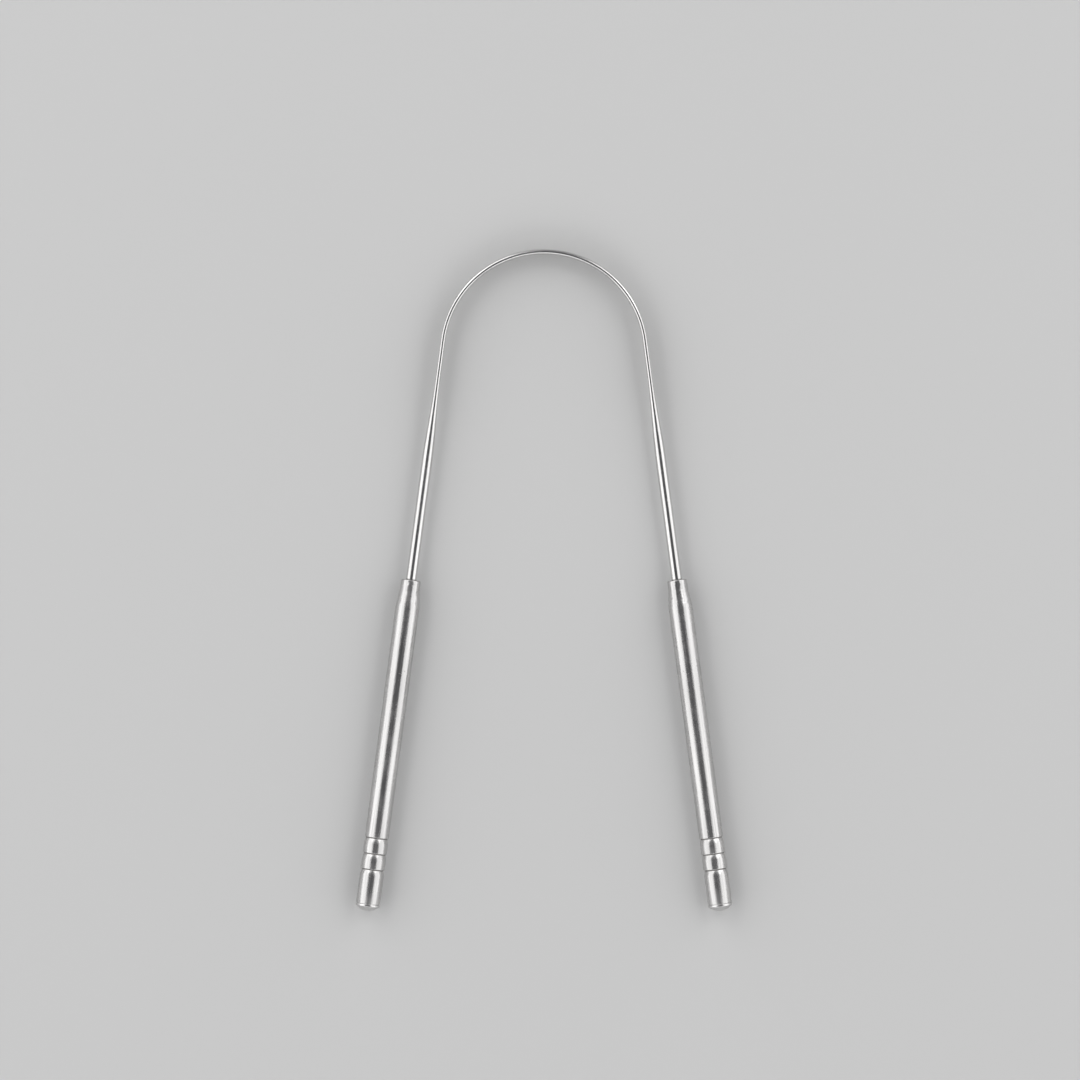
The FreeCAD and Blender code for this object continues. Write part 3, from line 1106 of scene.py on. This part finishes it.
    def _flare(self, start: Pair, end: Pair) -> list[Pair]:
        """Joins two radii by a cone with rounded ends.

        Args:
            start: First point, left out of the result.
            end: Last point.

        Returns:
            The points after start.
        """
        rise = end[0] - start[0]
        slope = (1 + self.flare_ease) * abs(rise) / self.flare
        chord = (math.sqrt(1 + slope ** 2) - 1) / slope
        length = self.flare_ease * abs(rise) / (2 * (slope - chord))
        radius = length * math.sqrt(1 + slope ** 2) / slope
        step = Vector((math.copysign(length * chord, rise),
                       math.copysign(length, end[1] - start[1])))
        first = tuple(Vector(start) + step)
        second = tuple(Vector(end) - step)
        rounded = arc(second, end, radius, -1, self.arc_steps)
        return arc(start, first, radius, 1, self.arc_steps) + [second] + rounded

    def cap_profile(self) -> list[Pair]:
        """Outline of the end cap, from the axis of the shank to the top of the dome.

        Returns:
            Points as radius and length from the mouth.
        """
        shank = self.tube_bore - self.plug_gap
        start = self.tube_length - self.cap_shank
        edge = (self.tube_radius, self.tube_length + self.cap_rim)
        top = (0.0, edge[1] + self.cap_dome)
        dome = (self.tube_radius ** 2 + self.cap_dome ** 2) / (2 * self.cap_dome)
        points = [
            (0.0, start),
            (shank - self.cap_chamfer, start),
            (shank, start + self.cap_chamfer),
            (shank, self.tube_length),
            (self.tube_radius - self.cap_seam, self.tube_length),
            (self.tube_radius, self.tube_length + self.cap_seam),
            edge,
        ]
        return points + arc(edge, top, dome, -1, self.dome_steps)

    def lathe(self, profile: Sequence[Pair], closed: bool) -> BMesh:
        """Spins a profile about the handle's axis.

        Args:
            profile: Points as radius and length from the mouth.
            closed: Whether the last point joins the first.

        Returns:
            The mesh, with its sharp edges bevelled.
        """
        bm = bmesh.new()
        verts = [bm.verts.new(self.origin + UP * radius + self.leg.along * length)
                 for radius, length in profile]
        pairs = list(zip(verts, verts[1:]))
        if closed:
            pairs.append((verts[-1], verts[0]))
        edges = [bm.edges.new(pair) for pair in pairs]
        bmesh.ops.spin(bm, geom=verts + edges, cent=self.origin, axis=self.leg.along,
                       angle=math.tau, steps=self.turns, use_merge=True)
        bmesh.ops.remove_doubles(bm, verts=bm.verts, dist=MERGE)
        bmesh.ops.recalc_face_normals(bm, faces=bm.faces)
        corners = [edge for edge in bm.edges
                   if edge.is_manifold and edge.calc_face_angle() > CORNER]
        bmesh.ops.bevel(bm, geom=corners, offset=self.edge_round, offset_type="OFFSET",
                        segments=self.edge_steps, profile=0.5, affect="EDGES", material=-1,
                        clamp_overlap=True)
        return bm

    def swage(self, bm: BMesh) -> None:
        """Dents the outside of the neck and the flare as the swaging dies leave it.

        Args:
            bm: Mesh of the tube.
        """
        count = round((self.swage_end - self.swage_start) / self.swage_pitch)
        for number in range(count + 1):
            place = self.point(self.swage_start + number * self.swage_pitch)
            bmesh.ops.bisect_plane(bm, geom=[*bm.verts, *bm.edges, *bm.faces], dist=MERGE,
                                   plane_co=place, plane_no=self.leg.along)
        skin = (self.tube_bore + self.neck_radius) / 2
        for vert in bm.verts:
            offset = vert.co - self.origin
            length = offset.dot(self.leg.along)
            radial = offset - self.leg.along * length
            if radial.length < skin or not self.swage_start < length < self.swage_end:
                continue
            fade = smooth((length - self.swage_start) / self.swage_rise)
            fade *= smooth((self.swage_end - length) / self.swage_fall)
            spot = (radial + self.leg.along * length * self.swage_squeeze) / self.swage_grain
            vert.co -= radial.normalized() * (self.swage_depth * fade * smooth(noise.noise(spot)))

    def piece(self, name: str, bm: BMesh, material: Material) -> Object:
        """Maps a finished mesh and makes it an object that rides on the handle.

        Args:
            name: Name of the piece.
            bm: Its mesh, which is freed.
            material: Its finish.

        Returns:
            The piece.
        """
        unwrap(bm, self._reading)
        made = new_piece(name, bm, material)
        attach(made, self.body)
        return made

    def _reading(self, vert: BMVert) -> tuple[float, float, float]:
        """Reads how far along and round the handle a vertex lies.

        Args:
            vert: The vertex.

        Returns:
            Length from the mouth, length round, and the full length round.
        """
        offset = vert.co - self.origin
        turn = math.atan2(offset.dot(self.leg.outward), offset.z) / math.tau + 0.5
        full = math.pi * self.tube_diameter
        return offset.dot(self.leg.along), turn * full, full

    def dress(self, tube_finish: Material, cap_finish: Material, collar: Object,
              collar_finish: Material) -> list[Object]:
        """Builds the tube and the cap and finishes the collar.

        Args:
            tube_finish: Finish of the tube.
            cap_finish: Finish of the cap.
            collar: The hidden collar's solid.
            collar_finish: Finish of the collar.

        Returns:
            The new pieces.
        """
        side = self.leg.side.word
        wall = self.lathe(self.tube_profile(), True)
        self.swage(wall)
        tube = self.piece(f"{side}_tube", wall, tube_finish)
        cap = self.piece(f"{side}_cap", self.lathe(self.cap_profile(), False), cap_finish)
        for piece, node, slot in ((tube, "handle_tube", Slot.SATIN), (cap, "end_cap", Slot.TURNED)):
            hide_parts(f"{side}_{node}")
        collar.data.materials.clear()
        collar.data.materials.append(collar_finish)
        return [tube, cap]


@dataclass(frozen=True)
class Softbox:
    """A rectangular lamp.

    Attributes:
        name: Name of the lamp.
        place: Where it stands.
        target: Point on the floor that it faces.
        width: Height of its face.
        length: Length of its level side.
        radiance: Brightness of its face.
    """

    name: str
    place: tuple[float, float, float]
    target: tuple[float, float, float]
    width: float
    length: float
    radiance: float

    def build(self) -> Object:
        """Adds the lamp, turned to its target.

        Returns:
            The lamp's object.
        """
        lamp = bpy.data.lights.new(self.name, "AREA")
        lamp.shape = "RECTANGLE"
        lamp.size = self.length
        lamp.size_y = self.width
        lamp.energy = self.radiance * math.pi * self.length * self.width
        thing = bpy.data.objects.new(self.name, lamp)
        place = Vector(self.place)
        thing.location = place
        thing.rotation_euler = (place - Vector(self.target)).to_track_quat("Z", "Y").to_euler()
        thing.visible_camera = False
        bpy.context.scene.collection.objects.link(thing)
        return thing


@dataclass(frozen=True)
class Studio:
    """Floor, lamps, surroundings and the camera straight above.

    Attributes:
        frame_width: Width of the picture on the middle plane.
        picture: Pixels of the picture's side.
        crown_row: Pixel row of the crown.
        middle_column: Pixel column of the middle plane.
        lens: Focal length, in millimetres.
        sensor: Sensor width, in millimetres.
        floor_size: Side of the floor.
        horizon: Colour of the surroundings at eye level.
        zenith: Colour of the surroundings overhead.
        lamps: The softboxes.
    """

    frame_width: float = 225.0 * MM
    picture: float = 1080.0
    crown_row: float = 249.5
    middle_column: float = 544.0
    lens: float = 220.0
    sensor: float = 36.0
    floor_size: float = 6.0
    horizon: Colour = (0.50, 0.50, 0.51, 1.0)
    zenith: Colour = (0.11, 0.11, 0.115, 1.0)
    lamps: tuple[Softbox, ...] = (
        Softbox("left_softbox", (-0.76, 0.075, 0.48), (0.0, 0.075, 0.0), 0.94, 1.75, 1.4),
        Softbox("right_softbox", (0.76, -0.025, 0.48), (0.0, -0.025, 0.0), 0.94, 1.55, 1.3),
        Softbox("front_softbox", (0.0, -0.9, 0.55), (0.0, 0.0, 0.0), 0.57, 1.3, 1.5),
        Softbox("rear_left_softbox", (-0.42, 0.68, 0.48), (0.0, 0.047, 0.0), 0.94, 0.5, 1.4),
        Softbox("rear_right_softbox", (0.53, 0.59, 0.48), (0.0, 0.047, 0.0), 0.94, 0.5, 1.3),
    )

    def build(self, crown: Vector) -> None:
        """Sets up the whole studio.

        Args:
            crown: Outermost point of the arch.
        """
        self._floor()
        self._surroundings()
        for lamp in self.lamps:
            lamp.build()
        self._camera(crown)

    def _floor(self) -> None:
        """Lays the floor."""
        bm = bmesh.new()
        bmesh.ops.create_grid(bm, x_segments=2, y_segments=2, size=self.floor_size / 2)
        floor = new_piece("floor", bm, PaleFloor().build())

    def _surroundings(self) -> None:
        """Fills the space round the studio with soft grey, darker overhead."""
        world = bpy.data.worlds.new("surroundings")
        tree = ShaderTree(world)
        way = tree.node("ShaderNodeTexCoord").out("Generated")
        height = tree.node("ShaderNodeSeparateXYZ", None, {0: way}).out("Z")
        stops = ((0.0, self.horizon), (1.0, self.zenith))
        sky = tree.node("ShaderNodeValToRGB", {"stops": stops}, {0: height}).out()
        light = tree.node("ShaderNodeBackground", None, {"Color": sky}).out()
        tree.node("ShaderNodeOutputWorld", None, {"Surface": light})
        bpy.context.scene.world = world
        bpy.context.scene.view_settings.view_transform = "Standard"

    def _camera(self, crown: Vector) -> None:
        """Hangs the camera straight above, so that the crown lies on its pixel row.

        Args:
            crown: Outermost point of the arch.
        """
        scale = self.frame_width / self.picture
        middle = Vector(((self.picture / 2 - self.middle_column) * scale,
                         crown.y - (self.picture / 2 - self.crown_row) * scale, crown.z))
        data = bpy.data.cameras.new("camera")
        data.lens = self.lens
        data.sensor_width = self.sensor
        distance = self.frame_width * self.lens / self.sensor
        data.clip_start = distance / CLIP_RATIO
        data.clip_end = distance * CLIP_RATIO
        camera = bpy.data.objects.new("camera", data)
        camera.location = middle + UP * distance
        bpy.context.scene.collection.objects.link(camera)
        bpy.context.scene.camera = camera


def main() -> None:
    """Builds and dresses every piece, then the studio."""
    logging.basicConfig(level=logging.INFO, format="%(message)s")
    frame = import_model()
    low, high = (Vector(corner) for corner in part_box("scraper_bow"))
    reach = Bow.arch_radius + Bow.strip_thickness / 2
    bow = Bow(arch_centre=Vector((0.0, high.y - reach, (low.z + high.z) / 2)))
    pieces = bow.dress(PolishedSteel(mouth_place=bow.mouth_from_crown / MM).build())
    handles = [Handle(bow.leg(side), bow.mouth, bow.rod_diameter) for side in Side]
    # Places of the painted shade in the rings: the bottom of each ring, in millimetres from the
    # mouth.
    painted_shade = tuple((place + handles[0].ring_step) / MM for place in handles[0].ring_places)
    satin = SatinSteel(ring_places=painted_shade).build()
    turned = TurnedSteel().build()
    brass = TurnedBrass().build()
    for handle in handles:
        collar = frame["nodes"][f"{handle.leg.side.word}_rod_bush"]
        pieces += handle.dress(satin, turned, collar, brass)
    for piece in pieces:
        LOG.info("%s: %d faces", piece.name, len(piece.data.polygons))
    Studio().build(bow.arch_centre + Vector((0.0, reach, 0.0)))


if __name__ == "__main__":
    main()
